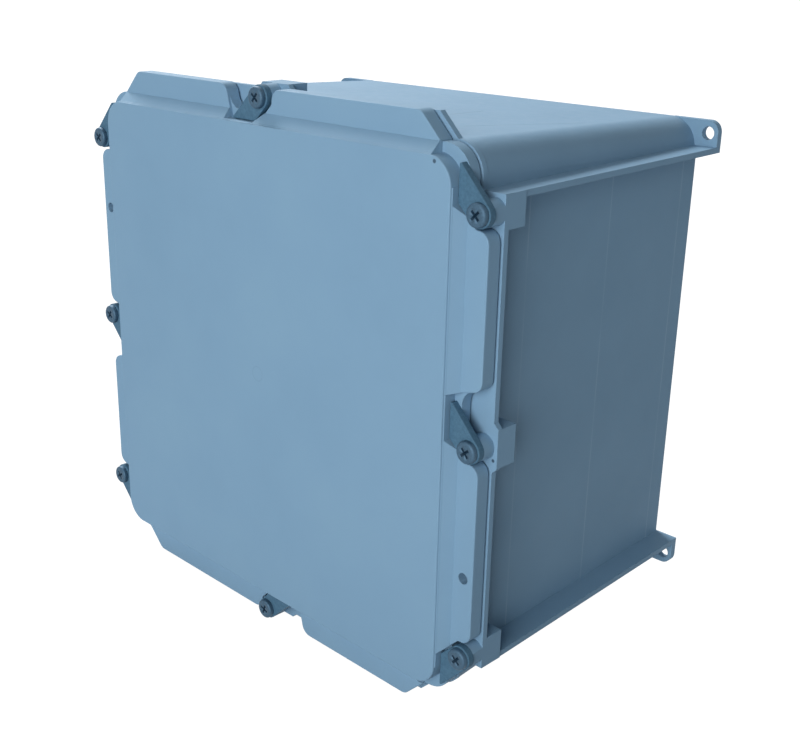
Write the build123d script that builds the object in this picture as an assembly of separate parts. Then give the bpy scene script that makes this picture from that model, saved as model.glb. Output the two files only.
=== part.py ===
from build123d import *
import os

# Sizes in millimetres. The box is drawn lying on its back: x runs to the right and y upwards as seen
# from the front, z from the wall towards the lid. At the end each piece is stood up against the wall.

# Body: a drafted tub, open at the front
depth = 209.0
mouth = 310.0
side_taper = 6.5
top_taper = 7.2
corner_radius = 17.0
wall = 6.0
floor_thickness = 5.5
back_edge = 2.0
floor_edge = 3.0

# Rim round the mouth: a flange on each side, cut at the corners, and a bulge at each middle clamp
rim_reach = 14.5
rim_reach_up = 12.5
rim_thickness = 3.5
rim_corner_inset = 17.0
bulge_width = 22.0
bulge_height = 3.0

# Ledges from the rim back to the feet, and the feet in the four back corners
ledge_inset = 22.7
ledge_thickness = 3.4
foot_reach = 14.8
foot_thickness = 4.5
foot_radius = 7.0
foot_hole_radius = 4.0
foot_hole_edge_x = 6.5
foot_hole_edge_y = 7.6

# Lid: a thin lip that the clamps hold, thick flanges between the clamps, and a raised panel
lid_setback = 1.0
lip_setback = 0.7
lip_radius = 16.5
lip_height = 8.0
lid_corner_inset = 20.0
flange_height = 10.1
flange_end_radius = 6.8
flange_edge = 0.6
panel_setback = 4.9
panel_draft = 0.5
panel_radius = 15.0
panel_height = 17.0
panel_edge = 0.8
panel_foot_fillet = 5.4
fillet_overlap = 2.0
lid_wall = 3.8
lid_inside_radius = 12.0
core_skin = 3.4
core_gap = 2.6

# Gasket in a groove of the lid, holding the lid a little off the rim
seam = 1.2
gasket_width = 3.8
groove_depth = 2.4
groove_gap = 1.1

# Swing clamps
screw_inset = 5.0
corner_screw_inset = 9.3
clamp_thickness = 4.2
clamp_end_radius = 7.0
clamp_edge_gap = 0.3
clamp_tip = 22.5
clamp_tip_radius = 0.9
clamp_heel = 4.2
clamp_heel_radius = 1.5
clamp_chamfer = 0.4
clamp_gap = 0.08

# Openings of the lid's edge round the clamps
bay_gap = 1.3
bay_step = 3.3
bay_tip_gap = 9.0
bay_slant = 0.25
bay_overrun = 7.0
bay_near_radius = 3.0
bay_lip_radius = 9.5
bay_panel_radius = 3.0

# Screw: pan head with a cross recess
screw_radius = 3.175
screw_length = 19.0
screw_point = 1.0
head_radius = 6.2
head_height = 3.2
head_side = 1.5
head_flat_radius = 4.2
recess_length = 6.6
recess_width = 1.3
recess_depth = 1.9
recess_turn = 38.0
thread_gap = 0.05
hole_beyond_screw = 2.0

# Brass inserts in the bosses, and what carries them
boss_radius = 7.0
insert_radius = 4.3
insert_length = 12.7
block_depth_corner = 16.0
block_depth_middle = 14.5
block_height = 18.0

# Standing bosses inside for a back panel
panel_boss_inset = 24.5
panel_boss_radius = 7.0
panel_boss_height = 12.0
panel_insert_radius = 3.2
panel_insert_bore = 2.4
panel_insert_length = 8.0

# Two seal holes through the lid flange and the rim
seal_hole_radius = 3.2
seal_hole_inset = 6.6
seal_hole_share = 0.488
seal_hole_wall = 3.0

# Sizes that follow from these
back_width = mouth - 2 * side_taper
back_height = mouth - 2 * top_taper
rim_size = mouth + 2 * rim_reach
rim_height = mouth + 2 * rim_reach_up
lid_size = rim_size - 2 * lid_setback
lip_size = mouth - 2 * lip_setback
panel_foot = lip_size - 2 * panel_setback
panel_front = panel_foot - 2 * panel_draft
ledge_height = mouth / 2 - ledge_inset
foot_span = back_width + 2 * foot_reach
screw_reach = lid_size / 2 - screw_inset
screw_rise = ledge_height - corner_screw_inset
panel_boss_spacing = back_width - 2 * panel_boss_inset
panel_seat = floor_thickness + panel_boss_height
clamp_front = depth + lip_height
clamp_edge = screw_reach - panel_foot / 2 - clamp_edge_gap
bay_tip = clamp_tip + bay_tip_gap
bay_outer = screw_inset + bay_overrun
seal_hole_x = lid_size / 2 - seal_hole_inset
seal_hole_y = seal_hole_share * lip_size / 2

# Where the clamps sit: the screw's centre, the way the clamp's tip points, and whether it is the
# mirrored clamp. Turned half round the box, the pattern falls on itself.
RIGHT, UP, LEFT, DOWN = 0, 90, 180, 270
clamp_places = {
    "right_top": (screw_reach, screw_rise, UP, False),
    "right_middle": (screw_reach, 0, UP, False),
    "right_bottom": (screw_reach, -screw_rise, DOWN, True),
    "bottom": (0, -screw_reach, RIGHT, False),
    "left_bottom": (-screw_reach, -screw_rise, DOWN, False),
    "left_middle": (-screw_reach, 0, DOWN, False),
    "left_top": (-screw_reach, screw_rise, UP, True),
    "top": (0, screw_reach, LEFT, False),
}
middle_places = ("right_middle", "bottom", "left_middle", "top")
rim_sides = ((RIGHT, rim_size), (UP, rim_height), (LEFT, rim_size), (DOWN, rim_height))


def at_clamp(name, shape, height=0.0):
    """Put a shape drawn with x towards the clamp's tip and y towards the panel at a clamp's screw."""
    x, y, turn, mirrored = clamp_places[name]
    if mirrored:
        shape = mirror(shape, about=Plane.XZ)
    return Location((x, y, height), (0, 0, turn)) * shape


def turned(angle, shape):
    """Turn a shape about the middle of the box."""
    return Location((0, 0, 0), (0, 0, angle)) * shape


def raised(height, shape):
    """Lift a shape above the wall plane."""
    return Location((0, 0, height)) * shape


def four(shape):
    """The same shape on the four bosses for a back panel."""
    return Sketch() + [spot * shape for spot in GridLocations(panel_boss_spacing, panel_boss_spacing, 2, 2)]


def tapered_block(low, high, low_size, high_size, radius):
    """A block with drafted sides between two heights."""
    low_face = raised(low, RectangleRounded(*low_size, radius))
    high_face = raised(high, RectangleRounded(*high_size, radius))
    return loft([low_face, high_face], ruled=True)


def tub_size(height, inset):
    """Width and height of the tub above the wall plane, less an inset on each side."""
    share = height / depth
    across = back_width + (mouth - back_width) * share - 2 * inset
    upwards = back_height + (mouth - back_height) * share - 2 * inset
    return across, upwards


def cut_square(size, inset):
    """A square cut at 45 degrees, each cut starting this far in along the mouth's edge."""
    flange = (size - mouth) / 2
    return chamfer(Rectangle(size, size).vertices(), inset + 2 * flange)


def rim_outline():
    """Outline of the rim: the tub's mouth, a flange on each side and a bulge at each middle clamp."""
    outline = RectangleRounded(mouth, mouth, corner_radius)
    outline += Rectangle(rim_size, 2 * ledge_height)
    outline += cut_square(rim_height, rim_corner_inset) & Rectangle(mouth - 2 * rim_corner_inset, rim_height)
    narrow, wide = bulge_width / 2, bulge_width / 2 + 2 * bulge_height
    for angle, size in rim_sides:
        inner, outer = size / 2 - bulge_height, size / 2 + bulge_height
        bulge = Polygon((inner, -wide), (outer, -narrow), (outer, narrow), (inner, wide), align=None)
        outline += turned(angle, bulge)
    return outline


def ledges():
    """The four ledges on the sides, from the feet to the rim."""
    profile = Polygon(
        ((back_width - wall) / 2, 0),
        (foot_span / 2, 0),
        (rim_size / 2, depth),
        ((mouth - wall) / 2, depth),
        align=None,
    )
    ledge = extrude(Plane.XZ.offset(-ledge_height) * profile, ledge_thickness)
    upper = ledge + mirror(ledge, about=Plane.YZ)
    return upper + mirror(upper, about=Plane.XZ)


def feet():
    """The four feet in the corners of the back plane, with their screw holes."""
    plate = RectangleRounded(foot_span, back_height, foot_radius)
    plate -= Rectangle(foot_span, 2 * (ledge_height - ledge_thickness))
    plate -= Rectangle(back_width - 2 * corner_radius, back_height)
    across = foot_span - 2 * foot_hole_edge_x
    upwards = back_height - 2 * foot_hole_edge_y
    for spot in GridLocations(across, upwards, 2, 2):
        plate -= spot * Circle(foot_hole_radius)
    return extrude(plate, foot_thickness)


def screw_blocks():
    """The blocks behind the rim that the inserts are set in."""
    inner = (mouth - wall) / 2
    reach = rim_size / 2 - inner
    corner = Box(reach, block_height, block_depth_corner, align=(Align.MIN, Align.MAX, Align.MAX))
    corner = Location((inner, ledge_height, depth)) * corner
    corners = corner + mirror(corner, about=Plane.YZ)
    corners += mirror(corners, about=Plane.XZ)
    align = (Align.MIN, Align.CENTER, Align.MAX)
    for angle, size in rim_sides:
        middle = Box(size / 2 + bulge_height - inner, bulge_width, block_depth_middle, align=align)
        corners += turned(angle, Location((inner, 0, depth)) * middle)
    return corners


def seal_holes(radius):
    """The two seal holes, half a turn apart."""
    hole = Location((seal_hole_x, -seal_hole_y)) * Circle(radius)
    return hole + turned(LEFT, hole)


def box_body():
    """The tub with its rim, ledges, feet and bosses, moulded in one."""
    body = tapered_block(0, depth, tub_size(0, 0), tub_size(depth, 0), corner_radius)
    body = fillet(body.faces().sort_by(Axis.Z)[0].edges(), back_edge)
    rim = rim_outline()
    body += raised(depth - rim_thickness, extrude(rim, rim_thickness))
    body += ledges()
    body += feet()
    body += screw_blocks()
    for name in clamp_places:
        boss = at_clamp(name, Circle(boss_radius)) & rim
        body += raised(depth, extrude(boss, lip_height))

    inner_radius = corner_radius - wall
    low_size = tub_size(floor_thickness, wall)
    high_size = tub_size(depth, wall)
    cavity = tapered_block(floor_thickness, depth, low_size, high_size, inner_radius)
    body -= fillet(cavity.faces().sort_by(Axis.Z)[0].edges(), floor_edge)
    body += raised(floor_thickness, extrude(four(Circle(panel_boss_radius)), panel_boss_height))
    body -= raised(panel_seat, extrude(four(Circle(panel_insert_radius)), -panel_insert_length))

    blind_depth = screw_length - clamp_thickness + hole_beyond_screw
    for name in clamp_places:
        body -= at_clamp(name, extrude(Circle(insert_radius), -insert_length), clamp_front)
        body -= at_clamp(name, extrude(Circle(screw_radius + thread_gap), -blind_depth), clamp_front)
    body -= raised(depth, extrude(seal_holes(seal_hole_radius), -rim_thickness))
    return body


def bay(inner_depth, far_radius, corner):
    """The opening in the lid's edge round one clamp. Its tip end slants, or stays open at a corner."""
    near = -(clamp_end_radius + bay_gap)
    step = inner_depth - bay_step
    far_outer = bay_tip + bay_slant * bay_outer
    far_inner = bay_tip - bay_slant * inner_depth
    if corner:
        far_outer = far_inner = mouth / 2 - screw_rise + bay_outer
    outline = Polygon(
        (near, -bay_outer),
        (far_outer, -bay_outer),
        (far_inner, inner_depth),
        (near + step, inner_depth),
        (near, bay_step),
        align=None,
    )
    side = outline.vertices().sort_by(Axis.X)
    outline = fillet([v for v in side if abs(v.X - near) < 0.01 and v.Y > 0], bay_near_radius)
    if corner:
        return outline
    return fillet(outline.vertices().filter_by(lambda v: abs(v.X - far_inner) < 0.01), far_radius)


def lid_layer(base_size, base_radius, far_radius):
    """Outline of the lid at one height: a rounded square with flanges, opened round each clamp."""
    outline = RectangleRounded(base_size, base_size, base_radius)
    outline += Rectangle(lid_size, 2 * screw_rise)
    outline += cut_square(lid_size, lid_corner_inset) & Rectangle(mouth - 2 * lid_corner_inset, lid_size)
    inner_depth = screw_reach - base_size / 2
    for name in clamp_places:
        outline -= at_clamp(name, bay(inner_depth, far_radius, name not in middle_places))
    ends = outline.vertices().filter_by(lambda v: max(abs(v.X), abs(v.Y)) > lid_size / 2 - 0.01)
    return fillet(ends, flange_end_radius)


def gasket_ring():
    """Outline of the gasket and of its groove, inside the edge of the lip."""
    outer = lip_size - 2 * groove_gap
    inner = outer - 2 * gasket_width
    outer_radius = lip_radius - groove_gap
    ring = RectangleRounded(outer, outer, outer_radius)
    return ring - RectangleRounded(inner, inner, outer_radius - gasket_width)


def flange_cores(lip_layer):
    """The hollows that lighten the flanges from behind."""
    inner = lip_size + 2 * core_gap
    cores = offset(lip_layer, -core_skin) - RectangleRounded(inner, inner, lip_radius + core_gap)
    return cores - seal_holes(seal_hole_radius + seal_hole_wall)


def foot_fillets(flange_layer):
    """The hollow fillets where the flanges meet the raised panel."""
    radius = panel_foot_fillet
    edge = panel_foot / 2 - panel_draft * (flange_height + radius) / panel_height
    corner = Location((edge - fillet_overlap, flange_height))
    profile = corner * Rectangle(fillet_overlap + radius, radius, align=(Align.MIN, Align.MIN))
    profile -= Location((edge + radius, flange_height + radius)) * Circle(radius)
    length = panel_foot - 2 * panel_radius - fillet_overlap
    bar = extrude(Plane.XZ * profile, length / 2, both=True)
    bars = [turned(angle, bar) for angle in (RIGHT, UP, LEFT, DOWN)]
    room = raised(flange_height, extrude(flange_layer, radius))
    return (Part() + bars) & room


def lid():
    """The lid, hollow behind its raised panel."""
    lip_layer = lid_layer(lip_size, lip_radius, bay_lip_radius)
    flange_layer = lid_layer(panel_front, panel_radius, bay_panel_radius)
    flange = extrude(flange_layer, flange_height)
    flange = fillet(flange.faces().sort_by(Axis.Z)[-1].edges(), flange_edge)
    panel = tapered_block(0, panel_height, (panel_foot, panel_foot), (panel_front, panel_front), panel_radius)
    panel = fillet(panel.faces().sort_by(Axis.Z)[-1].edges(), panel_edge)
    shell = extrude(lip_layer, lip_height) + flange + panel + foot_fillets(flange_layer)

    low = panel_foot - 2 * lid_wall
    high = panel_front - 2 * lid_wall
    shell -= tapered_block(0, panel_height - lid_wall, (low, low), (high, high), lid_inside_radius)
    shell -= extrude(Rectangle(2 * lid_size, 2 * lid_size), seam)
    shell -= extrude(gasket_ring(), seam + groove_depth)
    shell -= extrude(flange_cores(lip_layer), flange_height - core_skin)
    shell -= extrude(seal_holes(seal_hole_radius), flange_height)
    return raised(depth, shell)


def lid_gasket():
    """The soft ring that fills the lid's groove and stands on the rim."""
    return raised(depth, extrude(gasket_ring(), seam + groove_depth))


def clamp():
    """A swing clamp: a round end on its screw, a straight edge along the panel and a blunt tip."""
    tip = Location((clamp_tip, clamp_edge - clamp_tip_radius)) * Circle(clamp_tip_radius)
    heel = Location((clamp_heel, clamp_edge - clamp_heel_radius)) * Circle(clamp_heel_radius)
    plan = make_hull([*Circle(clamp_end_radius).edges(), *tip.edges(), *heel.edges()])
    plate = extrude(plan, clamp_thickness)
    plate = chamfer(plate.faces().sort_by(Axis.Z)[-1].edges(), clamp_chamfer)
    return plate - extrude(Circle(screw_radius + clamp_gap), clamp_thickness)


def screw():
    """A pan-head screw with the underside of its head at z = 0."""
    profile = Polygon(
        (0, -screw_length),
        (screw_radius - screw_point, -screw_length),
        (screw_radius, screw_point - screw_length),
        (screw_radius, 0),
        (head_radius, 0),
        (head_radius, head_side),
        (head_flat_radius, head_height),
        (0, head_height),
        align=None,
    )
    blank = revolve(Plane.XZ * profile, Axis.Z)
    cross = Rectangle(recess_length, recess_width) + Rectangle(recess_width, recess_length)
    return blank - raised(head_height, turned(recess_turn, extrude(cross, -recess_depth)))


def insert(radius, bore, length):
    """A threaded insert, its top at z = 0."""
    return extrude(Circle(radius) - Circle(bore), -length)


def panel_inserts():
    """The four inserts of the bosses for a back panel."""
    ring = four(Circle(panel_insert_radius) - Circle(panel_insert_bore))
    return raised(panel_seat, extrude(ring, -panel_insert_length))


def main():
    pieces = {"box_body": box_body(), "lid": lid(), "lid_gasket": lid_gasket(), "panel_inserts": panel_inserts()}
    clamp_blank = clamp()
    screw_blank = screw()
    insert_blank = insert(insert_radius, screw_radius + thread_gap, insert_length)
    for name in clamp_places:
        pieces["clamp_" + name] = at_clamp(name, clamp_blank, clamp_front)
        pieces["screw_" + name] = at_clamp(name, screw_blank, clamp_front + clamp_thickness)
        pieces["insert_" + name] = at_clamp(name, insert_blank, clamp_front)

    # Stood up: the wall plane at Y = 0 and the lid towards -Y
    os.makedirs("parts", exist_ok=True)
    for name, piece in pieces.items():
        export_step(Plane.XZ * piece, os.path.join("parts", name + ".step"))


main()
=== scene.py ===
import math

import bmesh
import bpy
from mathutils import Matrix, Vector


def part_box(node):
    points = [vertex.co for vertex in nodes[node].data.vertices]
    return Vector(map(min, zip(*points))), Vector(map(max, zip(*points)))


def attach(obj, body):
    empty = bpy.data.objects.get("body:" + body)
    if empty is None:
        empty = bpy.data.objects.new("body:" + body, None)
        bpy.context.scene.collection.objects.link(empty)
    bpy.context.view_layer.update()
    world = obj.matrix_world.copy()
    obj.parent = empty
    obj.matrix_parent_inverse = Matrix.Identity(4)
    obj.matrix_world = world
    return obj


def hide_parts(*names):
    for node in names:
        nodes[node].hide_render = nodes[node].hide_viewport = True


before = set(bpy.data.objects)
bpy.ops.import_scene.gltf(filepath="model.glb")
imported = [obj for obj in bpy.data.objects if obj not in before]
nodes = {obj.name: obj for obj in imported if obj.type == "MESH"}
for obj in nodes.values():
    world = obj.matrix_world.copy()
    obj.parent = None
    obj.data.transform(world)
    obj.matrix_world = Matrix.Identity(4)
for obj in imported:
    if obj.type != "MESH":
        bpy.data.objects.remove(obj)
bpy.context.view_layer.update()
MM = 0.001

# The eight clamps, as the frame has them, and how far the cross of each one's screw is turned, in degrees
PLACES = ("right_top", "right_middle", "right_bottom", "bottom",
          "left_bottom", "left_middle", "left_top", "top")
CROSS_TURNS = (45, 49, 41, 20, 58, 33, 47, 40)

# Heights in front of the wall plane
RIM_FRONT = 209 * MM
CLAMP_FRONT = 221.2 * MM

# The screw's shank and thread
SHANK_RADIUS = 3.15 * MM
SCREW_LENGTH = 19 * MM
SHANK_END = SCREW_LENGTH - 0.05 * MM
SHANK_SHOULDER = 0.5 * MM
PLAIN_SHANK = 5.2 * MM
POINT_CHAMFER = 0.8 * MM
THREAD_PITCH = 1.27 * MM
THREAD_CREST = 3.14 * MM
THREAD_ROOT = 2.52 * MM
THREAD_SUNK = 0.15 * MM
HALF_CREST = 0.08 * MM
THREAD_START = PLAIN_SHANK + 0.2 * MM
THREAD_RUNOUT = 1.8 * MM
STEPS_PER_TURN = 24

# The screw's pan head, with the break of its lower edge inwards and upwards, and the length and width
# of each wing of its cross recess
HEAD_RADIUS = 6.2 * MM
HEAD_HEIGHT = 3.2 * MM
HEAD_SIDE = 1.9 * MM
HEAD_SHOULDER = 1.5 * MM
HEAD_BREAK = (0.1 * MM, 0.12 * MM)
RECESS_MOUTH = (6.7 * MM, 1.5 * MM)
RECESS_BOTTOM = (3.4 * MM, 0.95 * MM)
RECESS_DEPTH = 2.2 * MM
RECESS_OVERSHOOT = 0.3 * MM

# Marks on the mouldings. The points are in millimetres in the frame.
FIRST_WITNESS = 40 * MM
WITNESS_SPACING = 76.8 * MM
SIDE_WALL = 147 * MM
LEDGE_TOP = 128.8 * MM
GATE_RADIUS = 4.5 * MM
GATE_LINE = 0.35 * MM
TOOL_RINGS = 0.987 * MM
TOP_SCUFFS = (((104, -165, 153.5), (128, -90, 151)), ((61, -127, 152.2), (58, -95, 151.1)))
RIM_SPECK = (170, -209, -6.7)
PANEL_SPECK = (138, -226, 146)

# The slopes round the raised panel, and the narrow strip along its edge. A section gives, in millimetres,
# the reach from the middle and the height in front of the rim of each corner, by (outer, front). An end
# gives the place along the side, and how far it moves along for each millimetre across the strip.
SLOPE_SECTION = {(False, True): (148.5, 16.5), (True, True): (154.8, 10.0),
                 (True, False): (154.0, 9.6), (False, False): (148.5, 9.6)}
BRINK_SECTION = {(False, True): (148.5, 16.5), (True, True): (149.4, 15.57),
                 (True, False): (149.4, 7.0), (False, False): (148.5, 7.0)}
SLOPE_FAR_END = (27.7, 0.25)
SLOPE_NEAR_END = (3.45, -1)
SLOPE_CLAMP_END = (126.45, -1)
SLOPE_CORNER_END = (134.9, 0)
BRINK_END = (134.5, 0)

# The studio: a floor just below the box, whose glow is a little over white, so that the part of it that
# takes the object's shadow doesn't turn the rest grey
FLOOR_HEIGHT = -172.8 * MM
FLOOR_SIZE = 12
FLOOR_GLOW = 1.12
SHADOW_SHARE = 0.1
WORLD_LIGHT = 0.11


def linear(hex_colour):
    """An sRGB hex colour as the linear colour that a shader takes."""
    channels = [int(hex_colour[i:i + 2], 16) / 255 for i in (1, 3, 5)]
    return (*[c / 12.92 if c <= 0.04045 else ((c + 0.055) / 1.055) ** 2.4 for c in channels], 1)


def per_metre(size):
    """The scale of a texture whose features are this many millimetres across."""
    return 1 / (size * MM)


def falling(near, far):
    """Map Range settings for 1 up to the near distance, in millimetres, and 0 past the far one."""
    return {"From Min": near * MM, "From Max": far * MM, "To Min": 1, "To Max": 0}


def add_node(tree, kind, settings=None, links=None, stops=()):
    """Add a node. Settings go to its sockets or, where it has none of that name, to the node itself.
    Stops are the colours of a ramp, as pairs of place and sRGB hex."""
    node = tree.nodes.new(kind)
    for key, value in (settings or {}).items():
        if isinstance(key, int) or key in node.inputs:
            node.inputs[key].default_value = value
        else:
            setattr(node, key, value)
    for key, source in (links or {}).items():
        tree.links.new(source, node.inputs[key])
    while stops and len(node.color_ramp.elements) < len(stops):
        node.color_ramp.elements.new(0.5)
    for i, (position, tone) in enumerate(stops):
        node.color_ramp.elements[i].position = position
        node.color_ramp.elements[i].color = linear(tone)
    return node


def start_material(name):
    """An empty material, with the frame's own coordinates ready to read."""
    material = bpy.data.materials.new(name)
    material.use_nodes = True
    tree = material.node_tree
    tree.nodes.clear()
    place = add_node(tree, "ShaderNodeTexCoord").outputs["Object"]
    return material, tree, place


def finish_material(tree, settings, links):
    """The shader and the output that every finish ends in."""
    shader = add_node(tree, "ShaderNodeBsdfPrincipled", settings, links)
    add_node(tree, "ShaderNodeOutputMaterial", None, {"Surface": shader.outputs[0]})


def moulded_pvc(name, base, light, dark, mark_nodes):
    """Rigid PVC, injection moulded: an even blue-grey with faint flow clouds and a satin skin."""
    material, tree, place = start_material(name)

    # Flow clouds 70 mm across, and a mottle of 6 mm
    clouds = add_node(tree, "ShaderNodeTexNoise",
                      {"Scale": per_metre(70), "Detail": 3, "Roughness": 0.55}, {"Vector": place})
    mottle = add_node(tree, "ShaderNodeTexNoise",
                      {"Scale": per_metre(6), "Detail": 2}, {"Vector": place}).outputs["Fac"]
    both = add_node(tree, "ShaderNodeMath", {"operation": "MULTIPLY_ADD", 1: 0.25},
                    {0: mottle, 2: clouds.outputs["Fac"]})
    colour = add_node(tree, "ShaderNodeValToRGB", None, {"Fac": both.outputs[0]},
                      ((0.42, dark), (0.62, base), (0.83, light))).outputs["Color"]

    # The mould's spark texture, 0.5 mm grains in truth, drawn at 1.1 mm so that it shows, and shallow
    # waves 28 mm across
    grain = add_node(tree, "ShaderNodeTexNoise",
                     {"Scale": per_metre(1.1), "Detail": 2, "Roughness": 0.6}, {"Vector": place})
    waves = add_node(tree, "ShaderNodeTexNoise",
                     {"Scale": per_metre(28), "Detail": 1}, {"Vector": place})
    soft_edge = add_node(tree, "ShaderNodeBevel", {"Radius": 0.45 * MM, "samples": 6})
    skin = add_node(tree, "ShaderNodeBump", {"Strength": 0.5, "Distance": 0.012 * MM},
                    {"Height": grain.outputs["Fac"], "Normal": soft_edge.outputs[0]})
    wavy = add_node(tree, "ShaderNodeBump", {"Strength": 0.6, "Distance": 0.12 * MM},
                    {"Height": waves.outputs["Fac"], "Normal": skin.outputs[0]})
    colour, normal = mark_nodes(tree, place, colour, wavy.outputs[0])

    gloss = add_node(tree, "ShaderNodeMapRange",
                     {"From Min": 0.3, "From Max": 0.7, "To Min": 0.56, "To Max": 0.66}, {"Value": mottle})
    links = {"Base Color": colour, "Roughness": gloss.outputs[0], "Normal": normal}
    finish_material(tree, {"IOR": 1.5, "Specular IOR Level": 0.2}, links)
    return material


def scuff(tree, place, start, end):
    """1 on a faint rubbed line between two points, in millimetres, and 0 away from it."""
    run = (Vector(end) - Vector(start)) * MM
    offset = add_node(tree, "ShaderNodeVectorMath", {"operation": "SUBTRACT", 1: Vector(start) * MM},
                      {0: place})
    along = add_node(tree, "ShaderNodeVectorMath",
                     {"operation": "DOT_PRODUCT", 1: run / run.length_squared}, {0: offset.outputs[0]})
    share = add_node(tree, "ShaderNodeClamp", None, {"Value": along.outputs["Value"]})
    nearest = add_node(tree, "ShaderNodeVectorMath", {"operation": "SCALE", 0: run},
                       {"Scale": share.outputs[0]})
    gap = add_node(tree, "ShaderNodeVectorMath", {"operation": "DISTANCE"},
                   {0: offset.outputs[0], 1: nearest.outputs[0]})
    line = add_node(tree, "ShaderNodeMapRange", falling(0.2, 0.9), {"Value": gap.outputs["Value"]})
    return line.outputs[0]


def speck(tree, place, centre, radius):
    """1 on a small round dot, its centre and radius in millimetres, and 0 away from it."""
    gap = add_node(tree, "ShaderNodeVectorMath", {"operation": "DISTANCE", 1: Vector(centre) * MM},
                   {0: place})
    dot = add_node(tree, "ShaderNodeMapRange", falling(radius * 0.7, radius * 1.2),
                   {"Value": gap.outputs["Value"]})
    return dot.outputs[0]


def tinted(tree, colour, mask, weight, tint):
    """A colour with some of another over it where the mask is 1."""
    share = add_node(tree, "ShaderNodeMath", {"operation": "MULTIPLY", 1: weight}, {0: mask})
    mixed = add_node(tree, "ShaderNodeMix", {"data_type": "RGBA", 7: linear(tint)},
                     {0: share.outputs[0], 6: colour})
    return mixed.outputs[2]


def witness_lines(tree, place):
    """1 on the lines that the mould's side cores leave down the two side walls, stronger in places."""
    axes = add_node(tree, "ShaderNodeSeparateXYZ", None, {0: place}).outputs
    shifted = add_node(tree, "ShaderNodeMath", {"operation": "ADD", 1: RIM_FRONT - FIRST_WITNESS},
                       {0: axes["Y"]})
    nearest = add_node(tree, "ShaderNodeMath", {"operation": "PINGPONG", 1: WITNESS_SPACING / 2},
                       {0: shifted.outputs[0]})
    line = add_node(tree, "ShaderNodeMapRange", falling(0.15, 0.7), {"Value": nearest.outputs[0]})

    # Only on the two walls, between their ledges
    side = add_node(tree, "ShaderNodeMath", {"operation": "ABSOLUTE"}, {0: axes["X"]})
    outside = add_node(tree, "ShaderNodeMath", {"operation": "GREATER_THAN", 1: SIDE_WALL},
                       {0: side.outputs[0]})
    rise = add_node(tree, "ShaderNodeMath", {"operation": "ABSOLUTE"}, {0: axes["Z"]})
    between = add_node(tree, "ShaderNodeMath", {"operation": "LESS_THAN", 1: LEDGE_TOP},
                       {0: rise.outputs[0]})
    on_wall = add_node(tree, "ShaderNodeMath", {"operation": "MULTIPLY"},
                       {0: outside.outputs[0], 1: between.outputs[0]})
    masked = add_node(tree, "ShaderNodeMath", {"operation": "MULTIPLY"},
                      {0: line.outputs[0], 1: on_wall.outputs[0]})

    # Patches 45 mm across
    patches = add_node(tree, "ShaderNodeTexNoise", {"Scale": per_metre(45), "Detail": 2}, {"Vector": place})
    strength = add_node(tree, "ShaderNodeMapRange",
                        {"From Min": 0.35, "From Max": 0.6, "To Min": 0.25, "To Max": 1},
                        {"Value": patches.outputs["Fac"]})
    shown = add_node(tree, "ShaderNodeMath", {"operation": "MULTIPLY"},
                     {0: masked.outputs[0], 1: strength.outputs[0]})
    return shown.outputs[0]


def body_marks(tree, place, colour, normal):
    """The witness lines on the box, rubbed lines on its top and a speck on its rim."""
    lines = witness_lines(tree, place)
    colour = tinted(tree, colour, lines, 0.3, "#a9c3d4")
    for start, end in TOP_SCUFFS:
        colour = tinted(tree, colour, scuff(tree, place, start, end), 0.6, "#5d7f96")
    colour = tinted(tree, colour, speck(tree, place, RIM_SPECK, 1.0), 0.85, "#1f3242")
    raised = add_node(tree, "ShaderNodeBump", {"Strength": 0.5, "Distance": 0.05 * MM},
                      {"Height": lines, "Normal": normal})
    return colour, raised.outputs[0]


def lid_marks(tree, place, colour, normal):
    """The ring that the gate left in the middle of the panel, and a speck in a corner."""
    flat = add_node(tree, "ShaderNodeVectorMath", {"operation": "MULTIPLY", 1: (1, 0, 1)}, {0: place})
    reach = add_node(tree, "ShaderNodeVectorMath", {"operation": "LENGTH"}, {0: flat.outputs[0]})
    ring = add_node(tree, "ShaderNodeMath", {"operation": "COMPARE", 1: GATE_RADIUS, 2: GATE_LINE},
                    {0: reach.outputs["Value"]})
    colour = tinted(tree, colour, ring.outputs[0], 0.12, "#4f7086")
    colour = tinted(tree, colour, speck(tree, place, PANEL_SPECK, 1.1), 0.8, "#1f3242")
    raised = add_node(tree, "ShaderNodeBump", {"Strength": 0.3, "Distance": 0.04 * MM},
                      {"Height": ring.outputs[0], "Normal": normal})
    return colour, raised.outputs[0]


def moulded_nylon():
    """Glass-filled nylon, moulded: dark blue-grey and satin, faintly speckled, with softened edges."""
    material, tree, place = start_material("moulded_nylon")

    # Fibre speckle, 0.3 mm in truth, drawn at 1.5 mm so that it shows
    speckle = add_node(tree, "ShaderNodeTexNoise",
                       {"Scale": per_metre(1.5), "Detail": 3, "Roughness": 0.7},
                       {"Vector": place}).outputs["Fac"]
    colour = add_node(tree, "ShaderNodeValToRGB", None, {"Fac": speckle},
                      ((0.3, "#42637a"), (0.72, "#50738a")))
    soft_edge = add_node(tree, "ShaderNodeBevel", {"Radius": 0.3 * MM, "samples": 6})
    skin = add_node(tree, "ShaderNodeBump", {"Strength": 0.5, "Distance": 0.02 * MM},
                    {"Height": speckle, "Normal": soft_edge.outputs[0]})
    links = {"Base Color": colour.outputs["Color"], "Normal": skin.outputs[0]}
    finish_material(tree, {"IOR": 1.53, "Roughness": 0.58, "Specular IOR Level": 0.12}, links)
    return material


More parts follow.
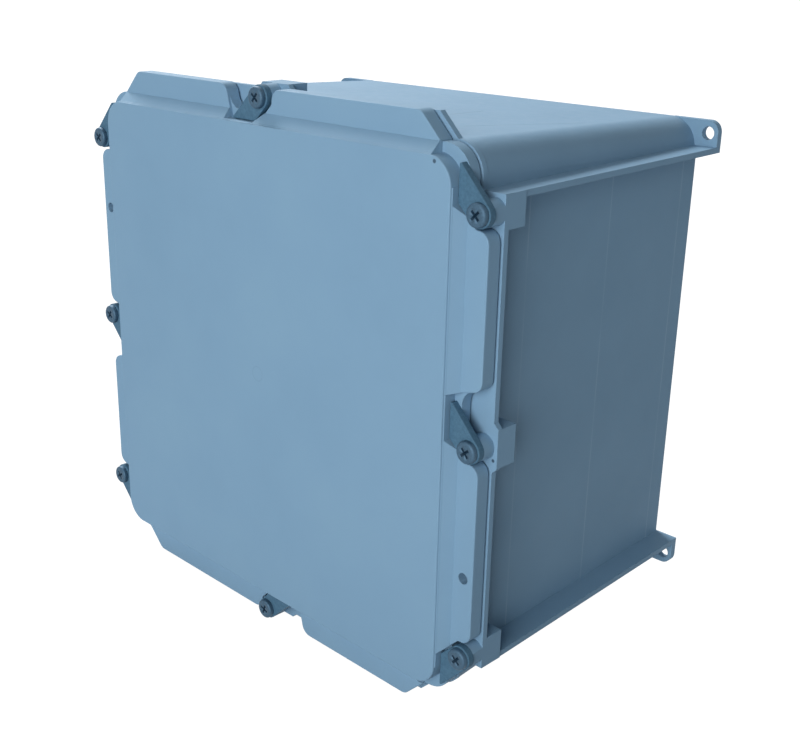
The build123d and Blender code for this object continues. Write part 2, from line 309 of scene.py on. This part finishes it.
def cold_headed_steel():
    """Stainless steel, cold headed and left dull: blue-grey, slightly uneven, and it hardly glints."""
    material, tree, place = start_material("cold_headed_steel")

    # Dull and duller patches 1.2 mm across
    patches = add_node(tree, "ShaderNodeTexNoise",
                       {"Scale": per_metre(1.2), "Detail": 3, "Roughness": 0.6},
                       {"Vector": place}).outputs["Fac"]
    colour = add_node(tree, "ShaderNodeValToRGB", None, {"Fac": patches},
                      ((0.35, "#365267"), (0.7, "#446278")))
    gloss = add_node(tree, "ShaderNodeMapRange",
                     {"From Min": 0.3, "From Max": 0.7, "To Min": 0.5, "To Max": 0.62}, {"Value": patches})
    skin = add_node(tree, "ShaderNodeBump", {"Strength": 0.4, "Distance": 0.02 * MM}, {"Height": patches})
    links = {"Base Color": colour.outputs["Color"], "Roughness": gloss.outputs[0],
             "Normal": skin.outputs[0]}
    finish_material(tree, {"Metallic": 0.5}, links)
    return material


def recess_painted_shade():
    """The walls of a driver's recess: painted shade, nearly black, for the shade that falls in it."""
    material, tree, place = start_material("recess_painted_shade")

    # The painted shade, uneven in specks of 0.8 mm
    shade_specks = add_node(tree, "ShaderNodeTexNoise", {"Scale": per_metre(0.8), "Detail": 2}, {"Vector": place})
    colour = add_node(tree, "ShaderNodeValToRGB", None, {"Fac": shade_specks.outputs["Fac"]},
                      ((0.3, "#0a2030"), (0.7, "#16344a")))
    settings = {"Roughness": 0.7, "Specular IOR Level": 0.2}
    finish_material(tree, settings, {"Base Color": colour.outputs["Color"]})
    return material


def turned_brass():
    """Free-cutting brass, turned: yellow, with rings from the tool and a little tarnish."""
    material, tree, place = start_material("turned_brass")

    # Rings 0.1 mm apart in truth, drawn 1 mm apart so that they show. The texture has 20 / tau rings
    # in each unit of its scale. Tarnish in patches of 3 mm.
    rings = add_node(tree, "ShaderNodeTexWave",
                     {"bands_direction": "Y", "Scale": math.tau / (20 * TOOL_RINGS), "Distortion": 0.4},
                     {"Vector": place})
    tarnish = add_node(tree, "ShaderNodeTexNoise", {"Scale": per_metre(3), "Detail": 3}, {"Vector": place})
    colour = add_node(tree, "ShaderNodeValToRGB", None, {"Fac": tarnish.outputs["Fac"]},
                      ((0.35, "#b08d4c"), (0.7, "#d0ad66")))
    grooves = add_node(tree, "ShaderNodeBump", {"Strength": 0.5, "Distance": 0.04 * MM},
                       {"Height": rings.outputs["Fac"]})
    links = {"Base Color": colour.outputs["Color"], "Normal": grooves.outputs[0]}
    finish_material(tree, {"Metallic": 1.0, "Roughness": 0.32}, links)
    return material


def cut_neoprene():
    """Closed-cell neoprene, cut from sheet: black and matt, with the cut cells open."""
    material, tree, place = start_material("cut_neoprene")

    # Cells 0.7 mm across
    cells = add_node(tree, "ShaderNodeTexVoronoi", {"Scale": per_metre(0.7)},
                     {"Vector": place}).outputs["Distance"]
    colour = add_node(tree, "ShaderNodeValToRGB", None, {"Fac": cells},
                      ((0.1, "#0c0d0e"), (0.7, "#24272a")))
    pits = add_node(tree, "ShaderNodeBump", {"Strength": 0.6, "Distance": 0.15 * MM}, {"Height": cells})
    links = {"Base Color": colour.outputs["Color"], "Normal": pits.outputs[0]}
    finish_material(tree, {"IOR": 1.52, "Roughness": 0.8, "Specular IOR Level": 0.3}, links)
    return material


def new_piece(name, mesh_maker, materials, smooth_angle=35):
    """A bmesh made into an object at the origin, with its faces outwards and sharp edges kept."""
    bm = bmesh.new()
    mesh_maker(bm)
    bmesh.ops.remove_doubles(bm, verts=bm.verts, dist=0.002 * MM)
    bmesh.ops.recalc_face_normals(bm, faces=bm.faces)
    for face in bm.faces:
        face.smooth = True
    for edge in bm.edges:
        if len(edge.link_faces) == 2 and edge.calc_face_angle(0) > math.radians(smooth_angle):
            edge.smooth = False
    mesh = bpy.data.meshes.new(name)
    bm.to_mesh(mesh)
    bm.free()
    piece = bpy.data.objects.new(name, mesh)
    bpy.context.scene.collection.objects.link(piece)
    for material in materials:
        piece.data.materials.append(material)
    return piece


def spin_outline(bm, outline, steps):
    """Turn an outline of (radius, height) points all the way round the height axis, which is Y."""
    corners = [bm.verts.new((radius, height, 0)) for radius, height in outline]
    edges = [bm.edges.new(pair) for pair in zip(corners, corners[1:])]
    bmesh.ops.spin(bm, geom=corners + edges, cent=(0, 0, 0), axis=(0, 1, 0), angle=math.tau,
                   steps=steps, use_merge=True)


def recess_cutter(bm):
    """A cross whose two wings taper towards the bottom, as a driver's tip does."""
    for turn in (0, 90):
        wing = bmesh.ops.create_cube(bm, size=1)["verts"]
        for vert in wing:
            at_mouth = vert.co.y < 0
            length, width = RECESS_MOUTH if at_mouth else RECESS_BOTTOM
            height = HEAD_HEIGHT + RECESS_OVERSHOOT if at_mouth else HEAD_HEIGHT - RECESS_DEPTH
            vert.co = Vector((vert.co.x * length, -height, vert.co.z * width))
        turned = Matrix.Rotation(math.radians(turn), 3, "Y")
        bmesh.ops.rotate(bm, verts=wing, cent=(0, 0, 0), matrix=turned)
    # The walls that the cross cuts take the second finish, the recess's painted shade
    for face in bm.faces:
        face.material_index = 1


def screw_head(bm):
    """A pan head: an upright side, a rounded shoulder and a flat top."""
    inwards, upwards = HEAD_BREAK
    outline = [(0, 0), (HEAD_RADIUS - inwards, 0), (HEAD_RADIUS, -upwards), (HEAD_RADIUS, -HEAD_SIDE)]
    for step in range(1, 7):
        angle = math.radians(15 * step)
        radius = HEAD_RADIUS - HEAD_SHOULDER * (1 - math.cos(angle))
        outline.append((radius, -HEAD_SIDE - (HEAD_HEIGHT - HEAD_SIDE) * math.sin(angle)))
    spin_outline(bm, outline + [(0, -HEAD_HEIGHT)], 48)


def screw_shank(bm):
    """A plain neck under the head, a threaded length and a chamfered point."""
    outline = [(0, 0), (SHANK_RADIUS, 0), (SHANK_RADIUS, PLAIN_SHANK),
               (THREAD_ROOT, PLAIN_SHANK + SHANK_SHOULDER), (THREAD_ROOT, SHANK_END - POINT_CHAMFER),
               (THREAD_ROOT - POINT_CHAMFER, SHANK_END), (0, SHANK_END)]
    spin_outline(bm, outline, 32)


def screw_thread(bm):
    """The rolled thread, one ridge that winds round the shank."""
    turns = (SCREW_LENGTH - PLAIN_SHANK - THREAD_RUNOUT) / THREAD_PITCH
    steps = int(turns * STEPS_PER_TURN)
    foot = 0.5 * THREAD_PITCH
    outline = [(THREAD_ROOT - THREAD_SUNK, -foot), (THREAD_CREST, -HALF_CREST),
               (THREAD_CREST, HALF_CREST), (THREAD_ROOT - THREAD_SUNK, foot)]
    corners = [bm.verts.new((radius, THREAD_START + height + foot, 0)) for radius, height in outline]
    ridge = bm.faces.new(corners)
    bmesh.ops.spin(bm, geom=[ridge], cent=(0, 0, 0), axis=(0, 1, 0),
                   angle=math.tau * steps / STEPS_PER_TURN, steps=steps,
                   dvec=(0, THREAD_PITCH / STEPS_PER_TURN, 0))


def joined(parts):
    """Several meshes as the first one."""
    bm = bmesh.new()
    for part in parts:
        bm.from_mesh(part.data)
    bm.to_mesh(parts[0].data)
    bm.free()
    for part in parts[1:]:
        bpy.data.objects.remove(part)
    return parts[0]


def screw_blank(finishes):
    """One screw, pointing along Y with the underside of its head at the origin."""
    head = new_piece("screw_head", screw_head, finishes)
    cutter = new_piece("recess", recess_cutter, finishes)
    cut = head.modifiers.new("recess", "BOOLEAN")
    cut.object = cutter
    cut.operation = "DIFFERENCE"
    cut.solver = "EXACT"
    cut.use_self = True
    shown = bpy.data.meshes.new_from_object(head.evaluated_get(bpy.context.evaluated_depsgraph_get()))
    head.modifiers.clear()
    head.data = shown
    bpy.data.objects.remove(cutter)
    shank = new_piece("screw_shank", screw_shank, finishes)
    thread = new_piece("screw_thread", screw_thread, finishes, smooth_angle=50)
    return joined([head, shank, thread])


def place_screws(finishes):
    """A copy of the screw at each clamp, its cross turned as it was left."""
    blank = screw_blank(finishes)
    for name, turn in zip(PLACES, CROSS_TURNS):
        low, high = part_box("screw_" + name)
        centre = Vector(((low.x + high.x) / 2, -CLAMP_FRONT, (low.z + high.z) / 2))
        turned = Matrix.Rotation(math.radians(turn), 4, "Y")
        piece = bpy.data.objects.new("pan_screw_" + name, blank.data.copy())
        bpy.context.scene.collection.objects.link(piece)
        piece.data.transform(Matrix.Translation(centre) @ turned)
        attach(piece, "screw_" + name)
        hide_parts("screw_" + name)
    bpy.data.objects.remove(blank)


def strip_beside_panel(bm, section, ends, angle):
    """A straight strip along one side of the panel, from its section and its two ends."""
    strip = bmesh.ops.create_cube(bm, size=1)["verts"]
    panel_edge = section[False, True][0]
    for vert in strip:
        reach, height = section[vert.co.x > 0, vert.co.y > 0]
        along, slant = ends[vert.co.z > 0]
        along += slant * (reach - panel_edge)
        vert.co = Vector((reach, -height, along)) * MM - Vector((0, RIM_FRONT, 0))
    turned = Matrix.Rotation(math.radians(angle), 3, "Y")
    bmesh.ops.rotate(bm, verts=strip, cent=(0, 0, 0), matrix=turned)


def turned_over(end):
    """The same end of a strip, as far below the middle as it was above."""
    along, slant = end
    return -along, -slant


def panel_slopes(bm):
    """The straight slopes from the raised panel down to the flanges, cut off at the clamps' openings,
    and the narrow strip along each edge of the panel, which runs past them."""
    for angle in (0, -90, -180, -270):
        two_corner_clamps = angle % 180 == 0
        above = (SLOPE_FAR_END, SLOPE_CLAMP_END if two_corner_clamps else SLOPE_CORNER_END)
        below = (turned_over(above[1]), SLOPE_NEAR_END)
        for ends in (above, below):
            strip_beside_panel(bm, SLOPE_SECTION, ends, angle)
        strip_beside_panel(bm, BRINK_SECTION, (turned_over(BRINK_END), BRINK_END), angle)


def dress(name, material):
    """Give a CAD node its finish."""
    mesh = nodes[name].data
    if mesh.materials:
        for i in range(len(mesh.materials)):
            mesh.materials[i] = material
    else:
        mesh.materials.append(material)


def white_for_the_eye(tree, seen, lit):
    """One shader for rays that show the background, and another for rays that carry light."""
    path = add_node(tree, "ShaderNodeLightPath").outputs
    shiny = add_node(tree, "ShaderNodeMath", {"operation": "MAXIMUM"},
                     {0: path["Is Camera Ray"], 1: path["Is Glossy Ray"]})
    any_view = add_node(tree, "ShaderNodeMath", {"operation": "MAXIMUM"},
                        {0: shiny.outputs[0], 1: path["Is Transmission Ray"]})
    return add_node(tree, "ShaderNodeMixShader", None,
                    {0: any_view.outputs[0], 1: lit.outputs[0], 2: seen.outputs[0]})


def matt_paper():
    """Matt paper: white in the picture, with a share of real shading near the object, and pale grey
    to the light that it throws back."""
    material, tree, place = start_material("matt_paper")
    glow = add_node(tree, "ShaderNodeEmission", {"Color": (1, 1, 1, 1), "Strength": FLOOR_GLOW})
    paper = add_node(tree, "ShaderNodeBsdfDiffuse", {"Color": (0.9, 0.9, 0.9, 1)})
    grey = add_node(tree, "ShaderNodeBsdfDiffuse", {"Color": linear("#b4b8bc")})
    reach = add_node(tree, "ShaderNodeVectorMath", {"operation": "DISTANCE", 1: (0, -0.1, FLOOR_HEIGHT)},
                     {0: place})
    near = add_node(tree, "ShaderNodeMapRange", falling(250, 600), {"Value": reach.outputs["Value"]})
    share = add_node(tree, "ShaderNodeMath", {"operation": "MULTIPLY", 1: SHADOW_SHARE},
                     {0: near.outputs[0]})
    seen = add_node(tree, "ShaderNodeMixShader", None,
                    {0: share.outputs[0], 1: glow.outputs[0], 2: paper.outputs[0]})
    mixed = white_for_the_eye(tree, seen, grey)
    add_node(tree, "ShaderNodeOutputMaterial", None, {"Surface": mixed.outputs[0]})
    return material


def studio_floor():
    """A wide floor under the box."""
    bm = bmesh.new()
    bmesh.ops.create_grid(bm, x_segments=1, y_segments=1, size=FLOOR_SIZE)
    bmesh.ops.translate(bm, verts=bm.verts, vec=(0, 0, FLOOR_HEIGHT))
    mesh = bpy.data.meshes.new("studio_floor")
    bm.to_mesh(mesh)
    bm.free()
    floor = bpy.data.objects.new("studio_floor", mesh)
    bpy.context.scene.collection.objects.link(floor)
    floor.data.materials.append(matt_paper())


def studio_world():
    """White behind everything, and a low cool light from all round."""
    world = bpy.data.worlds.new("studio")
    bpy.context.scene.world = world
    world.use_nodes = True
    tree = world.node_tree
    tree.nodes.clear()
    seen = add_node(tree, "ShaderNodeBackground", {"Color": (1, 1, 1, 1), "Strength": 1})
    lit = add_node(tree, "ShaderNodeBackground", {"Color": linear("#e6f0f8"), "Strength": WORLD_LIGHT})
    mixed = white_for_the_eye(tree, seen, lit)
    add_node(tree, "ShaderNodeOutputWorld", None, {"Surface": mixed.outputs[0]})


def soft_lamp(name, place, aim, size, power):
    """A square soft box aimed at a point."""
    lamp = bpy.data.lights.new(name, "AREA")
    lamp.size = size
    lamp.energy = power
    item = bpy.data.objects.new(name, lamp)
    bpy.context.scene.collection.objects.link(item)
    item.location = place
    item.rotation_euler = (Vector(aim) - Vector(place)).to_track_quat("-Z", "Y").to_euler()


def photo_camera():
    """The camera, from the right and a little above, as the photograph was taken."""
    lens = bpy.data.cameras.new("camera")
    lens.lens = 52.89
    lens.sensor_width = 36
    lens.shift_x = 0.0614
    lens.shift_y = -0.0111
    camera = bpy.data.objects.new("camera", lens)
    bpy.context.scene.collection.objects.link(camera)
    turn = Matrix.Rotation(math.radians(46.02), 4, "Z")
    tilt = Matrix.Rotation(math.radians(70.38), 4, "X")
    roll = Matrix.Rotation(math.radians(0.487), 4, "Z")
    camera.matrix_world = Matrix.Translation((0.51906, -0.6485, 0.2422)) @ turn @ tilt @ roll
    bpy.context.scene.camera = camera


photo_camera()
body_pvc = moulded_pvc("moulded_pvc_box", "#799bb5", "#7c9eb8", "#7698b2", body_marks)
lid_pvc = moulded_pvc("moulded_pvc_lid", "#799bb5", "#7b9db6", "#7799b3", lid_marks)
nylon = moulded_nylon()
steel = cold_headed_steel()
brass = turned_brass()
dress("box_body", body_pvc)
dress("lid", lid_pvc)
dress("lid_gasket", cut_neoprene())
dress("panel_inserts", brass)
for place_name in PLACES:
    dress("clamp_" + place_name, nylon)
    dress("screw_" + place_name, steel)
    dress("insert_" + place_name, brass)
# The screws, with painted shade on the walls of their recesses
place_screws([steel, recess_painted_shade()])
slopes = new_piece("panel_slopes", panel_slopes, [lid_pvc])
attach(slopes, "lid")
studio_floor()
studio_world()
soft_lamp("front", place=(0.75, -2.1, 0.55), aim=(0, -0.1, 0), size=1.4, power=40)
soft_lamp("overhead", place=(-1.9, 0.5, 2.1), aim=(0, -0.1, 0.1), size=1.2, power=95)

bpy.context.scene.view_settings.view_transform = "Standard"
